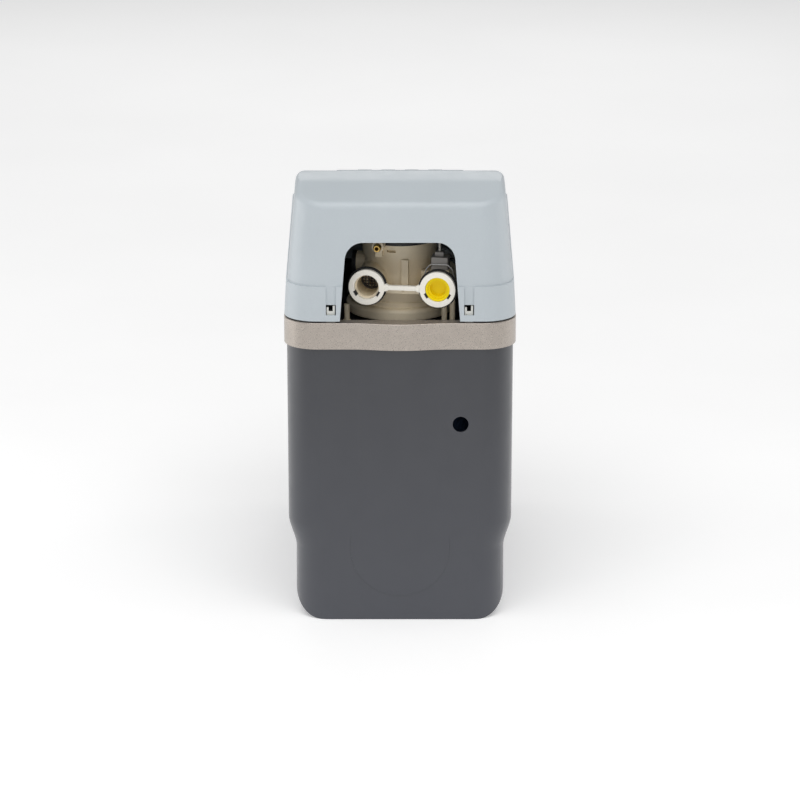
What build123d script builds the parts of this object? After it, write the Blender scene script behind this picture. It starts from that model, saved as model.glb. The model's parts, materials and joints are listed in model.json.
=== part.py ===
"""Compact domestic water softener: cabinet, rear cover over the valve head, salt lid, resin tank.

Millimetres, +Z up. The origin is on the floor under the middle of the cabinet.
-Y is the service side, where the pipes join. +Y is the user's side.
"""
from build123d import *
import math
import os

os.makedirs("parts", exist_ok=True)

# Cabinet
cabinet_width = 270.0
cabinet_depth = 480.0
cabinet_height = 520.0
bulge_proud = 6.0
bulge_half_width = 58.0
corner_radius = 39.0
wall = 3.0
back_y = -cabinet_depth / 2 + bulge_proud
front_y = cabinet_depth / 2

# Tub
band_overhang = 3.0
tub_half_width = cabinet_width / 2 - band_overhang
tub_back = back_y + band_overhang
tub_front = front_y - band_overhang
tub_top = 360.0
tub_draft = 1.0
shoulder_low = 80.0
shoulder_high = 119.0
shoulder_side = 9.0
shoulder_back = 1.2
foot_radius = 30.0
floor_thickness = 4.0
bulge_end_z = 30.0
bulge_sink = 0.3
overflow_x = 70.6
overflow_z = 240.0
overflow_radius = 9.3

# Band round the rim
band_bottom = 329.0
band_top = 363.0
band_taper_height = 12.0
band_taper = 2.5
band_lip = 12.0

# Rear cover and salt lid share one outer form
cover_bottom = 365.0
cover_draft = 5.0
cover_half_width = cabinet_width / 2 - 0.4
cover_back = back_y + 0.5
cover_front = front_y - 0.5
cover_corner_low = 38.0
cover_corner_high = 35.0
cover_loft_top = 530.0
crease_z = 406.0
skirt_proud = 1.5
rise_angle = 17.3
fall_angle = 15.0
ridge_y = -150.0
ridge_radius = 120.0
apex_z = cabinet_height + 4.9
crown_drop = 3.0
top_edge_round = 11.0

# Service cut-out and snap slots in the rear cover
cutout_top = 457.0
cutout_half_low = 70.5
cutout_half_high = 62.3
cutout_corner = 21.0
snap_x = 80.0
snap_width = 11.5
snap_low = 372.0
snap_high = 384.0

# Salt lid hinge
hinge_surface_y = 64.0
barrel_radius = 8.0
barrel_half = 113.0
hinge_pin_radius = 2.5
hinge_running_gap = 0.05
hinge_gap = 0.6
ear_inner = 113.5
ear_outer = 118.0
ear_radius = 4.4
ear_side_gap = 0.6
ear_notch = 9.0

# Control panel, set in the falling top face of the rear cover
panel_y = -32.0
panel_width = 150.0
panel_length = 84.0
panel_thickness = 1.6
button_radius = 9.0
button_hole_radius = 9.3
button_spacing = 28.0
button_top = 3.3
button_row = 25.0
button_names = ["left_button", "down_button", "up_button", "right_button"]
display_row = -14.0
board_top = -10.0
board_thickness = 1.6

# Resin tank and head, both on one vertical axis
tank_x = 0.0
tank_y = -125.0
tank_radius = 98.0
tank_top = 332.0
neck_radius = 31.0
neck_bore = 25.0
neck_top = 358.0
head_yaw = 8.0

# Head
deck_bottom = 347.0
deck_top = 350.0
base_bottom = 352.0
base_radius = 63.0
base_top = 372.0
drum_radius = 52.0
drum_top = 388.0
body_radius = 41.0
body_top = 424.0
chamber_radius = 33.0
chamber_floor = 402.0
seal_port = 20.0
cover_plate_top = 438.0
gear_plate_top = 441.0

# Ports
port_z = 398.0
port_reach = 84.0
port_spacing = 83.0
port_offset = 14.0
inlet_u = port_offset - port_spacing / 2
outlet_u = port_offset + port_spacing / 2
ring_radius = 21.0
mouth_radius = 14.5
ring_thickness = 8.0
tube_radius = 17.0
bore_radius = 12.5
bore_end = -36.0

# Drain outlet on the head
drain_u = -18.0
drain_z = 440.0

# Drive
gear_module = 1.5
gear_teeth = 48
pinion_teeth = 12
gear_low = 443.0
gear_high = 449.0
tooth_thinning = 0.22
gear_posts = [(-27, 60), (27, 60), (0, 78)]

# Brine side
well_x = 60.0
well_y = 112.0
well_radius = 31.0
well_top = 336.0
rod_top = 276.0
float_radius = 18.0

# Centre lines of the brine line and of the sensor's lead
brine_line_route = [
    (27.4, -73.8, 402.0),
    (30.1, -54.5, 402.0),
    (50.0, -32.0, 397.0),
    (74.0, -14.0, 382.0),
    (86.0, 0.0, 360.0),
    (88.0, 8.0, 338.0),
    (82.0, 28.0, 324.0),
    (70.0, 56.0, 321.0),
    (61.0, 88.0, 324.0),
    (60.0, 111.9, 323.0),
    (60.0, 112.0, 306.0),
]

sensor_cable_route = [
    (46.2, -187.6, 437.0),
    (46.2, -187.0, 450.0),
    (45.0, -180.0, 464.0),
    (42.0, -165.0, 475.0),
    (38.0, -146.0, 479.0),
    (35.0, -124.0, 476.0),
    (34.0, -103.0, 470.0),
    (35.0, -84.0, 464.5),
    (36.5, -71.5, 467.0),
    (37.0, -64.8, 475.0),
    (37.0, -62.65, 483.2),
]
sensor_cable_radius = 1.2


def block(x0, x1, y0, y1, z0, z1):
    return Pos((x0 + x1) / 2, (y0 + y1) / 2, (z0 + z1) / 2) * Box(x1 - x0, y1 - y0, z1 - z0)


def post(x, y, z0, z1, radius):
    return Pos(x, y, (z0 + z1) / 2) * Cylinder(radius, z1 - z0)


def rod_y(x, z, y0, y1, radius):
    return Pos(x, (y0 + y1) / 2, z) * Rot(90, 0, 0) * Cylinder(radius, y1 - y0)


def rod_x(y, z, x0, x1, radius):
    return Pos((x0 + x1) / 2, y, z) * Rot(0, 90, 0) * Cylinder(radius, x1 - x0)


def on_head(shape):
    """Takes a shape from the head's own frame, on the tank's axis, to the cabinet's frame."""
    return Pos(tank_x, tank_y, 0) * Rot(0, 0, -head_yaw) * shape


def save(shape, name):
    shape.label = name
    export_step(shape, "parts/" + name + ".step")


# ---------------------------------------------------------------- cabinet

def plan(half_width, back, front, corner, z):
    middle = (back + front) / 2
    return Pos(0, middle, z) * RectangleRounded(2 * half_width, front - back, corner)


def bulge_radius():
    return (bulge_half_width**2 + bulge_proud**2) / (4 * bulge_proud)


def bulge_edges(back):
    """Two hollow arcs and a full one, tangent to each other and to the flat back wall."""
    radius = bulge_radius()
    angle = math.degrees(math.asin(bulge_half_width / (2 * radius)))
    hollow_left = CenterArc((-bulge_half_width, back - radius), radius, 90, -angle)
    crest = CenterArc((0, back - bulge_proud + radius), radius, 270 - angle, 2 * angle)
    hollow_right = CenterArc((bulge_half_width, back - radius), radius, 90 + angle, -angle)
    return [hollow_left, crest, hollow_right]


def bulge_face(back, inside):
    edges = bulge_edges(back)
    closing = Polyline(
        (bulge_half_width, back),
        (bulge_half_width, back + inside),
        (-bulge_half_width, back + inside),
        (-bulge_half_width, back),
    )
    return make_face(Curve() + edges + closing)


def bulge_column(back, z_low, z_high, inside=8.0):
    face = bulge_face(back, inside)
    return Pos(0, 0, z_low) * extrude(face, z_high - z_low, dir=(0, 0, 1))


def bulge_end(back, z, inside=8.0):
    """The round foot of the bulge, turned about a line along Y."""
    right_half = bulge_face(back, inside) & (Pos(100, back) * Rectangle(200, 60))
    return Pos(0, 0, z) * revolve(right_half, Axis.Y, 360)


def tub_side(skin):
    low = plan(tub_half_width - tub_draft - skin, tub_back + skin, tub_front - skin,
               corner_radius - skin, shoulder_high)
    high = plan(tub_half_width - skin, tub_back + skin, tub_front - skin, corner_radius - skin, tub_top)
    return loft([low, high], ruled=True)


def tub_shoulder(skin):
    sections = []
    steps = 6
    for i in range(steps + 1):
        share = i / steps
        ease = share * share * (3 - 2 * share)
        side = tub_draft + shoulder_side * (1 - ease)
        end = shoulder_back * (1 - ease)
        z = shoulder_low + share * (shoulder_high - shoulder_low)
        sections.append(plan(tub_half_width - side - skin, tub_back + end + skin, tub_front - end - skin,
                             corner_radius - skin, z))
    return loft(sections)


def tub_foot(skin):
    half_width = tub_half_width - tub_draft - shoulder_side - skin
    bottom = floor_thickness if skin else 0.0
    face = plan(half_width, tub_back + shoulder_back + skin, tub_front - shoulder_back - skin,
                corner_radius - skin, bottom)
    foot = extrude(face, shoulder_low - bottom)
    radius = foot_radius - skin
    height = 4 * radius
    profile = Plane.XZ * Pos(0, bottom + height / 2) * RectangleRounded(2 * half_width, height, radius)
    return foot & extrude(profile, cabinet_depth, both=True)


def tub_form(skin):
    form = tub_side(skin) + tub_shoulder(skin) + tub_foot(skin)
    middle = bulge_end_z + bulge_half_width
    back = tub_back + skin + bulge_sink
    return form + bulge_column(back, middle, tub_top) + bulge_end(back, middle)


def cabinet_tub():
    tub = tub_form(0) - tub_form(wall)
    tub -= rod_y(overflow_x, overflow_z, tub_back - 10, tub_back + 10, overflow_radius)
    return tub


def rim_outline():
    left, right = -cabinet_width / 2, cabinet_width / 2
    r = corner_radius
    edges = bulge_edges(back_y)
    edges += [
        Line((bulge_half_width, back_y), (right - r, back_y)),
        CenterArc((right - r, back_y + r), r, 270, 90),
        Line((right, back_y + r), (right, front_y - r)),
        CenterArc((right - r, front_y - r), r, 0, 90),
        Line((right - r, front_y), (left + r, front_y)),
        CenterArc((left + r, front_y - r), r, 90, 90),
        Line((left, front_y - r), (left, back_y + r)),
        CenterArc((left + r, back_y + r), r, 180, 90),
        Line((left + r, back_y), (-bulge_half_width, back_y)),
    ]
    return make_face(Curve() + edges)


def rim_band():
    outline = rim_outline()
    band = Pos(0, 0, band_bottom) * extrude(outline, band_top - band_bottom, dir=(0, 0, 1))
    low_edges = band.edges().group_by(Axis.Z)[0]
    band = chamfer(low_edges, band_taper, band_taper_height)
    high_edges = band.edges().group_by(Axis.Z)[-1]
    band = fillet(high_edges, 1.2)
    mouth = plan(tub_half_width - band_lip, tub_back + band_lip, tub_front - band_lip,
                 corner_radius - band_lip, band_bottom)
    mouth = extrude(mouth, band_top - band_bottom + 1)
    band -= mouth
    band -= tub_form(0)
    return band


def head_tray():
    """Dark plate under the head, hung from the band's lip by its upstand."""
    skin = wall + 0.5
    tray = plan(tub_half_width - skin, tub_back + skin, 50.0, corner_radius - skin, deck_bottom)
    inner = plan(tub_half_width - skin - 2, tub_back + skin + 2, 48.0, corner_radius - skin - 2, deck_top)
    tray = extrude(tray, tub_top - deck_bottom) - extrude(inner, tub_top - deck_top + 1)
    tray -= post(tank_x, tank_y, deck_bottom - 1, deck_top + 1, neck_radius + 1)
    tray -= post(88, 4.5, deck_bottom - 1, deck_top + 1, 6.5)
    return tray


# ---------------------------------------------------------------- rear cover and salt lid

def cover_plan(skin, z, extra=0.0):
    inset = (z - cover_bottom) * math.tan(math.radians(cover_draft)) + skin - extra
    share = (z - cover_bottom) / (cover_loft_top - cover_bottom)
    corner = cover_corner_low + share * (cover_corner_high - cover_corner_low) - skin
    return plan(cover_half_width - inset, cover_back + inset, cover_front - inset, corner, z)


def top_profile(skin):
    """Side outline: up from the back edge, over the ridge, down towards the user."""
    apex = apex_z - skin / math.cos(math.radians(16))
    rise = (cabinet_depth / 2 + 30 + ridge_y) * math.tan(math.radians(rise_angle))
    fall = (cabinet_depth / 2 + 30 - ridge_y) * math.tan(math.radians(fall_angle))
    near, far = -cabinet_depth / 2 - 30, cabinet_depth / 2 + 30
    corners = [(near, 300), (near, apex - rise), (ridge_y, apex), (far, apex - fall), (far, 300)]
    line = FilletPolyline(*corners, radius=[0.0, 0.0, ridge_radius - skin, 0.0, 0.0], close=True)
    return Plane.YZ * make_face(line)


def is_top_rim(edge):
    middle = edge.center()
    outer = abs(middle.X) > 60 or middle.Y < -190 or middle.Y > 190
    return outer and middle.Z > 415 and abs(edge.tangent_at(0.5).Z) < 0.8


def cover_form(skin):
    """The whole outer form of the rear cover and lid together, inset by skin."""
    form = loft([cover_plan(skin, cover_bottom - skin), cover_plan(skin, cover_loft_top)], ruled=True)
    form = form & extrude(top_profile(skin), cabinet_width, both=True)
    form = fillet(form.edges().filter_by(is_top_rim), top_edge_round - skin)
    half = cover_half_width - 15
    crown_radius = half * half / (2 * crown_drop)
    return form & rod_y(0, cabinet_height - skin - crown_radius, -300, 300, crown_radius)


def skirt_form():
    """Slightly proud band of the cover below its crease."""
    low = cover_plan(0, cover_bottom)
    high = cover_plan(0, crease_z, skirt_proud)
    return loft([low, high], ruled=True)


def surface_z(y):
    """Height of the falling top face at y."""
    return apex_z - (y - ridge_y) * math.tan(math.radians(fall_angle))


def hinge_axis():
    fall = math.radians(fall_angle)
    y = hinge_surface_y - barrel_radius * math.sin(fall)
    z = surface_z(hinge_surface_y) - barrel_radius * math.cos(fall)
    return y, z


def cutout_prism():
    """Service opening: leaning sides, round upper corners, open at the bottom."""
    outline = FilletPolyline(
        (-cutout_half_low, cover_bottom - 10),
        (-cutout_half_high, cutout_top),
        (cutout_half_high, cutout_top),
        (cutout_half_low, cover_bottom - 10),
        radius=[0.0, cutout_corner, cutout_corner, 0.0],
        close=True,
    )
    face = Plane.XZ * make_face(outline)
    return extrude(face, 60, dir=(0, 1, 0)).moved(Location((0, cover_back - 20, 0)))


def snap_cuts(side):
    """A square hole for the hook, below a shallow channel."""
    x0, x1 = side * snap_x - snap_width / 2, side * snap_x + snap_width / 2
    hole = block(x0, x1, cover_back - 5, cover_back + 12, snap_low, snap_high)
    channel = block(x0, x1, cover_back - 5, cover_back + 3.4, snap_high - 0.5, crease_z + 0.5)
    return hole + channel


def cover_feet():
    """Inner ribs that stand the cover on the band."""
    feet = None
    for side in (-1, 1):
        for y in (-150.0, -50.0, 30.0):
            foot = block(side * 127.0 - 6, side * 127.0 + 6, y - 4, y + 4, band_top, cover_bottom + 20)
            feet = foot if feet is None else feet + foot
    return feet


def panel_place(shape):
    """Takes a shape from the control panel's frame: x across, y down the slope, z off it."""
    fall = math.radians(fall_angle)
    plane = Plane(
        origin=(0, panel_y, surface_z(panel_y)),
        x_dir=(1, 0, 0),
        z_dir=(0, math.sin(fall), math.cos(fall)),
    )
    return plane.location * shape


def hinge_ear(side):
    axis_y, axis_z = hinge_axis()
    x0, x1 = sorted((side * ear_inner, side * ear_outer))
    wall_y = axis_y - barrel_radius - hinge_gap
    ear = rod_x(axis_y, axis_z, x0, x1, ear_radius)
    ear += block(x0, x1, wall_y - 1, axis_y, axis_z - ear_radius, axis_z + 0.4)
    ear -= rod_x(axis_y, axis_z, x0 - 1, x1 + 1, hinge_pin_radius)
    return ear


def rear_cover():
    axis_y, axis_z = hinge_axis()
    end_y = axis_y - barrel_radius - hinge_gap
    front = block(-200, 200, end_y, 300, 300, 600)
    inner_front = block(-200, 200, end_y - wall, 300, 300, 600)
    outer = cover_form(0) + skirt_form() - front
    inner = cover_form(wall) - inner_front
    cover = outer - inner - cutout_prism()
    for side in (-1, 1):
        cover -= snap_cuts(side)
        cover += hinge_ear(side)
    opening = Pos(0, 0, -wall) * Box(panel_width - 12, panel_length - 12, 4 * wall)
    cover -= panel_place(opening)
    feet = cover_feet() & (cover_form(1) + block(-130, 130, -233, 60, band_top, cover_bottom))
    return cover + feet


def salt_lid():
    axis_y, axis_z = hinge_axis()
    rear_y = axis_y - barrel_radius + 1.6
    shell = (cover_form(0) + skirt_form()) - cover_form(wall)
    ahead = block(-200, 200, hinge_surface_y, 300, 300, 600)
    below = block(-200, 200, rear_y, 300, 300, axis_z)
    round_edge = rod_x(axis_y, axis_z, -200, 200, barrel_radius)
    lid = shell & (ahead + below + round_edge)
    barrel = rod_x(axis_y, axis_z, -barrel_half, barrel_half, barrel_radius)
    lid += barrel
    for side in (-1, 1):
        x0, x1 = sorted((side * (barrel_half - 24), side * (barrel_half + 2)))
        lid -= rod_x(axis_y, axis_z, x0, x1, hinge_pin_radius + hinge_running_gap)
        x0, x1 = sorted((side * barrel_half, side * (ear_outer + ear_side_gap)))
        lid -= block(x0, x1, rear_y - 5, axis_y + ear_notch, axis_z - ear_notch, axis_z + 20)
    lid -= block(-38, 38, cover_front - 12, cover_front + 5, cover_bottom - 1, cover_bottom + 9)
    return lid


def lid_hinge_pins():
    axis_y, axis_z = hinge_axis()
    left = rod_x(axis_y, axis_z, -ear_outer, -(barrel_half - 22), hinge_pin_radius)
    right = rod_x(axis_y, axis_z, barrel_half - 22, ear_outer, hinge_pin_radius)
    return Compound([left, right])


def lid_bumpers():
    bumpers = []
    for side in (-1, 1):
        bumpers.append(post(side * 90, cover_front - 5.5, band_top, cover_bottom - 0.2, 2.2))
    return Compound(bumpers)


def snap_hook(side):
    """U-shaped hook that stands on the band's lip and looks through the square hole."""
    x = side * snap_x
    y0 = cover_back + 4.6
    hook = block(x - 5, x - 2.6, y0, y0 + 2, band_top, snap_high - 3)
    hook += block(x + 2.2, x + 4.6, y0, y0 + 2, band_top, snap_high - 1)
    hook += block(x - 5, x + 4.6, y0, y0 + 2, band_top, snap_low + 4)
    hook += block(x - 5, x + 4.6, y0, y0 + 6, band_top, band_top + 2)
    return hook


def snap_hooks():
    return Compound([snap_hook(-1), snap_hook(1)])


# ---------------------------------------------------------------- control panel

def button_x(index):
    return (index - 1.5) * button_spacing


def panel_bezel():
    bezel = extrude(RectangleRounded(panel_width, panel_length, 10), panel_thickness)
    bezel = fillet(bezel.edges().group_by(Axis.Z)[-1], 1.0)
    bezel -= Pos(0, display_row, 1) * Box(64, 30, 4)
    for index in range(4):
        bezel -= post(button_x(index), button_row, -1, 4, button_hole_radius)
    for x in (-58, 58):
        for y in (-28, 28):
            bezel += post(x, y, board_top, 0.5, 3.5)
            bezel -= post(x, y, board_top - 1, -2, 1.55)
    return panel_place(bezel)


def display_window():
    return panel_place(Pos(0, display_row, -0.75) * Box(72, 38, 1.5))


def display_module():
    return panel_place(block(-35, 35, display_row - 18, display_row + 18, board_top, -1.5))


def control_board():
    board = block(-65, 65, -33, 33, board_top - board_thickness, board_top)
    for x in (-58, 58):
        for y in (-28, 28):
            board -= post(x, y, board_top - 3, board_top + 1, 1.6)
    for index in range(4):
        x = button_x(index)
        board += block(x - 3, x + 3, button_row - 3, button_row + 3, board_top, board_top + 2.6)
    board += block(30, 44, -31, -23, board_top - board_thickness - 6, board_top - board_thickness)
    return panel_place(board)


def panel_button(index):
    x = button_x(index)
    button = post(x, button_row, -4, button_top, button_radius)
    button = fillet(button.edges().group_by(Axis.Z)[-1], 1.2)
    button += post(x, button_row, -4, -2, button_radius + 1.8)
    button += post(x, button_row, -5.6, -3.5, 2.0)
    return panel_place(button)


def panel_screws():
    screws = []
    for x in (-58, 58):
        for y in (-28, 28):
            head_top = board_top - board_thickness
            screw = post(x, y, head_top - 2, head_top, 3) + post(x, y, head_top - 1, -4, 1.5)
            screws.append(panel_place(screw))
    return Compound(screws)


# ---------------------------------------------------------------- resin tank

def tank_half_face(skin):
    """Half section of the tank's outer or inner surface, from the axis up to the neck."""
    radius = tank_radius - skin
    bottom = floor_thickness + skin
    shoulder = 262.0
    dome = tank_top - skin - shoulder
    neck = neck_bore if skin else neck_radius
    foot = 38.0
    neck_angle = math.degrees(math.acos(neck / radius))
    neck_z = shoulder + dome * math.sin(math.radians(neck_angle))
    lines = [
        Line((0, bottom), (radius - foot, bottom)),
        CenterArc((radius - foot, bottom + foot), foot, 270, 90),
        Line((radius, bottom + foot), (radius, shoulder)),
        EllipticalCenterArc((0, shoulder), radius, dome, 0, arc_size=neck_angle),
        Line((neck, neck_z), (neck, neck_top)),
        Line((neck, neck_top), (0, neck_top)),
        Line((0, neck_top), (0, bottom)),
    ]
    return Plane.XZ * make_face(Curve() + lines)


def on_tank(shape):
    return Pos(tank_x, tank_y, 0) * shape


def resin_tank():
    tank = revolve(tank_half_face(0), Axis.Z, 360) - revolve(tank_half_face(wall), Axis.Z, 360)
    return on_tank(tank)


def resin_bed():
    """The settled resin, a plain column round the riser tube."""
    bed = post(0, 0, 40, 215, tank_radius - wall - 0.5) - post(0, 0, 39, 216, 13.6)
    return on_tank(bed)


def riser_tube():
    return on_tank(post(0, 0, 30, neck_top + 6, 13.5) - post(0, 0, 29, neck_top + 7, 11.5))


def strainer_slots(z0, z1, radius):
    cuts = None
    for index in range(8):
        slot = Rot(0, 0, 45 * index) * block(radius - 4, radius + 4, -0.6, 0.6, z0, z1)
        cuts = slot if cuts is None else cuts + slot
    return cuts


def bottom_strainer():
    basket = post(0, 0, 10, 30, 24) - post(0, 0, 14, 27, 21)
    basket -= post(0, 0, 26, 31, 11.5)
    basket -= strainer_slots(15, 26, 22.5)
    return on_tank(basket)


def top_strainer():
    collar = post(0, 0, 336, 346, 21) - post(0, 0, 335, 347, 13.55)
    skirt = post(0, 0, 322, 336, 19) - post(0, 0, 321, 337, 16)
    skirt -= strainer_slots(324, 334, 17.5)
    return on_tank(collar + skirt)


def neck_clamp():
    clamp = post(0, 0, 335, deck_bottom, 44) - post(0, 0, 334, deck_bottom + 1, neck_radius + 0.1)
    clamp += block(-54, 54, -8, 8, 336, 346) - post(0, 0, 335, 347, neck_radius + 5)
    clamp -= block(-60, 60, -0.75, 0.75, 330, 350)
    for x in (-49, 49):
        clamp -= rod_y(x, 341, -10, 10, 2.6)
    return on_tank(clamp)


def clamp_screws():
    screws = []
    for x in (-49, 49):
        screw = rod_y(x, 341, -12, 12, 2.5) + rod_y(x, 341, -12, -8, 4.5) + rod_y(x, 341, 8, 11, 4.5)
        screws.append(on_tank(screw))
    return Compound(screws)


# ---------------------------------------------------------------- control head

def valve_base():
    """Round foot of the head, which takes the tank's neck."""
    foot = post(0, 0, base_bottom, 366, base_radius)
    foot = fillet(foot.edges().group_by(Axis.Z)[-1], 5)
    foot = fillet(foot.edges().group_by(Axis.Z)[0], 2)
    base = foot + post(0, 0, 366, base_top, drum_radius + 2)
    base -= post(0, 0, base_bottom - 1, neck_top, neck_radius + 0.05)
    base -= post(0, 0, base_bottom, base_top + 1, neck_bore)
    return on_head(base)


def neck_seal():
    return on_head(post(0, 0, neck_top, neck_top + 1.9, neck_bore - 0.1) - post(0, 0, 357, 361, 13.6))


def port_tube(u, length_end):
    tube = rod_y(u, port_z, -port_reach + ring_thickness, length_end, tube_radius)
    flange_front = -port_reach + ring_thickness + 3
    return tube + rod_y(u, port_z, flange_front, flange_front + 4.5, ring_radius - 0.6)


def valve_body():
    """Main moulding: drum, upright body with a rotor chamber, and the two port tubes."""
    body = post(0, 0, base_top, drum_top, drum_radius)
    body += post(0, 0, drum_top - 3, body_top - 4, body_radius)
    body += post(0, 0, body_top - 4, body_top, body_radius + 3)
    body += port_tube(inlet_u, -10) + port_tube(outlet_u, -12)
    body += block(inlet_u, outlet_u, -62, -30, port_z - 12, port_z - 8)
    body += block(8, 16, -body_radius - 5, -body_radius + 4, drum_top - 2, body_top - 2)
    body += block(30, outlet_u, -36, -12, port_z - 10, port_z + 10)
    body += block(outlet_u - 11, outlet_u + 11, -66, -44, port_z, port_z + tube_radius + 2)
    body += rod_x(8, 404, -52, -30, 13)
    body += rod_y(20, 402, 30, 56, 9)
    body -= block(10.5, 13.5, -63, -58, port_z - 9.5, port_z - 7.5)
    return body


def valve_passages():
    """Rotor chamber, riser way, port bores, and the ways between them."""
    way_z = port_z - 6
    cuts = [post(0, 0, chamber_floor, body_top + 1, chamber_radius)]
    cuts.append(post(0, 0, base_top - 1, chamber_floor + 1, 14))
    for u, end in ((inlet_u, -19), (outlet_u, -20)):
        cuts.append(rod_y(u, port_z, -port_reach, bore_end, bore_radius))
        cuts.append(rod_y(u, way_z, bore_end - 1, end, 5))
        cuts.append(post(math.copysign(seal_port, u), -seal_port, way_z, chamber_floor + 1, 4))
    cuts.append(rod_x(-24, way_z, seal_port - 2, outlet_u, 4.4))
    cuts.append(rod_x(8, 404, -53, -38, 8))
    cuts.append(rod_y(20, 402, 40, 57, 4))
    for angle in range(45, 360, 90):
        cuts.append(Rot(0, 0, angle) * post(38.5, 0, body_top - 10, body_top + 1, 1.55))
    return cuts


def finished_valve_body():
    body = valve_body()
    for cut in valve_passages():
        body -= cut
    return on_head(body)


def port_yoke():
    """Two pale rings joined by a bar, fixed on the ends of the port tubes."""
    front = -port_reach
    yoke = block(inlet_u, outlet_u, front + 1.5, front + 6.5, port_z - 2.6, port_z + 2.6)
    for side, u in ((1, inlet_u), (-1, outlet_u)):
        yoke += rod_y(u, port_z, front, front + ring_thickness, ring_radius)
        yoke += rod_y(u + side * (ring_radius + 1), port_z, front + 1, front + 7, 4.2)
    for u in (inlet_u, outlet_u):
        yoke -= rod_y(u, port_z, front - 1, front + ring_thickness + 1, mouth_radius)
        for angle in (-150, -30):
            slot = block(mouth_radius - 1, mouth_radius + 2.2, -1, ring_thickness + 1, -3.2, 3.2)
            yoke -= Pos(u, front, port_z) * Rot(0, -angle, 0) * slot
    return on_head(yoke)


def inlet_screen():
    """Round mesh washer seated in the inlet bore."""
    y0 = bore_end - 7
    screen = rod_y(inlet_u, port_z, y0, y0 + 3, bore_radius - 0.05)
    screen -= rod_y(inlet_u, port_z, y0 - 1, y0 + 4, bore_radius - 2)
    mouth = rod_y(inlet_u, port_z, y0, y0 + 3, bore_radius - 1)
    for shift in (-7, -3.5, 0, 3.5, 7):
        u, z = inlet_u + shift, port_z + shift
        screen += block(u - 0.5, u + 0.5, y0 + 1, y0 + 2, port_z - 11, port_z + 11) & mouth
        screen += block(inlet_u - 11, inlet_u + 11, y0 + 1, y0 + 2, z - 0.5, z + 0.5) & mouth
    return on_head(screen)


def transit_plug():
    """Dished plug that keeps dirt out of the outlet until the pipe is joined."""
    front = -port_reach + 2
    plug = rod_y(outlet_u, port_z, front, -port_reach + ring_thickness, mouth_radius - 0.3)
    plug += rod_y(outlet_u, port_z, front, front + 14, bore_radius - 0.3)
    plug -= rod_y(outlet_u, port_z, front - 1, front + 3.5, mouth_radius - 2.6)
    plug -= rod_y(outlet_u, port_z, front - 1, front + 11, bore_radius - 3)
    return on_head(plug)


def spider(y0, y1, blind_from, blind_to):
    """Ring with three arms and a hub that carries one end of the turbine's shaft."""
    ring = rod_y(outlet_u, port_z, y0, y1, bore_radius - 0.05)
    ring -= rod_y(outlet_u, port_z, y0 - 1, y1 + 1, bore_radius - 1.8)
    for index in range(3):
        arm = Rot(0, 120 * index, 0) * block(1.5, bore_radius - 1, y0, y1, -0.8, 0.8)
        ring += Pos(outlet_u, 0, port_z) * arm
    ring += rod_y(outlet_u, port_z, y0, y1, 2.6)
    return ring - rod_y(outlet_u, port_z, blind_from, blind_to, 1.05)


def turbine_cage():
    front = spider(-62, -59, -60.5, -58)
    rear = spider(-41, -38, -42, -39.5)
    return Compound([on_head(front), on_head(rear)])


def flow_turbine():
    turbine = rod_y(outlet_u, port_z, -60.3, -39.7, 1.0)
    turbine += rod_y(outlet_u, port_z, -56, -44, 3.5)
    for index in range(6):
        blade = block(2.5, 10.5, -54, -46, -0.7, 0.7)
        blade = Rot(0, 60 * index, 0) * blade
        turbine += Pos(outlet_u, 0, port_z) * blade
    return on_head(turbine)


def flow_sensor():
    pad_top = port_z + tube_radius + 2
    sensor = block(outlet_u - 10, outlet_u + 10, -66, -46, pad_top, pad_top + 15)
    sensor = fillet(sensor.edges().filter_by(Axis.Z), 2)
    sensor += block(outlet_u - 6, outlet_u + 4, -61, -50, pad_top + 15, pad_top + 20)
    return on_head(sensor)


def sensor_clip():
    """Bent wire over the sensor and down both sides of the outlet tube."""
    y = -67.3
    down_one_side = [(18.4, 384), (18.4, 406), (15, 419), (10, 424)]
    route = [(-u, z) for u, z in down_one_side] + down_one_side[::-1]
    points = [(outlet_u + u, y, z) for u, z in route]
    path = FilletPolyline(*points, radius=3.0)
    start = Plane(origin=path @ 0, z_dir=path % 0)
    wire = sweep(start * Circle(0.8), path=path)
    return on_head(wire)


def valve_cover():
    """Flat cap on the rotor chamber, with the drain boss on its service side."""
    cap = post(0, 0, body_top, cover_plate_top, body_radius + 3)
    cap += rod_y(drain_u, drain_z, -58, -43, 7)
    cap += block(drain_u - 4, drain_u + 4, -50, -38, body_top + 2, 436)
    cap -= post(0, 0, body_top - 1, cover_plate_top + 1, 6.05)
    cap -= block(-9, 1, -body_radius - 4, -body_radius + 3, 430, 433)
    cap -= rod_y(drain_u, drain_z, -59, -44, 4)
    for angle in range(45, 360, 90):
        cap -= Rot(0, 0, angle) * post(38.5, 0, body_top - 1, cover_plate_top + 1, 1.6)
    return on_head(cap)


def drain_barb():
    barb = rod_y(drain_u, drain_z, -58, -44, 4) + rod_y(drain_u, drain_z, -67, -57, 3.4)
    for y in (-66, -63.5, -61):
        barb += Pos(drain_u, y, drain_z) * Rot(90, 0, 0) * Cone(4.6, 3.6, 2.4)
    barb -= rod_y(drain_u, drain_z, -70, -43, 2.4)
    return on_head(barb)


def rotor_seal():
    seal = post(0, 0, chamber_floor, chamber_floor + 3, chamber_radius - 0.1) - post(0, 0, 401, 406, 14)
    for u in (-seal_port, seal_port):
        seal -= post(u, -seal_port, 401, 406, 4)
    return on_head(seal)


def rotor_disc():
    disc = post(0, 0, chamber_floor + 3.3, chamber_floor + 11, chamber_radius - 0.5)
    disc += post(0, 0, chamber_floor + 10, 456, 6)
    for angle in (70, 190, 310):
        disc -= Rot(0, 0, angle) * post(22, 0, chamber_floor + 3, chamber_floor + 7, 5)
    return on_head(disc)


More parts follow.
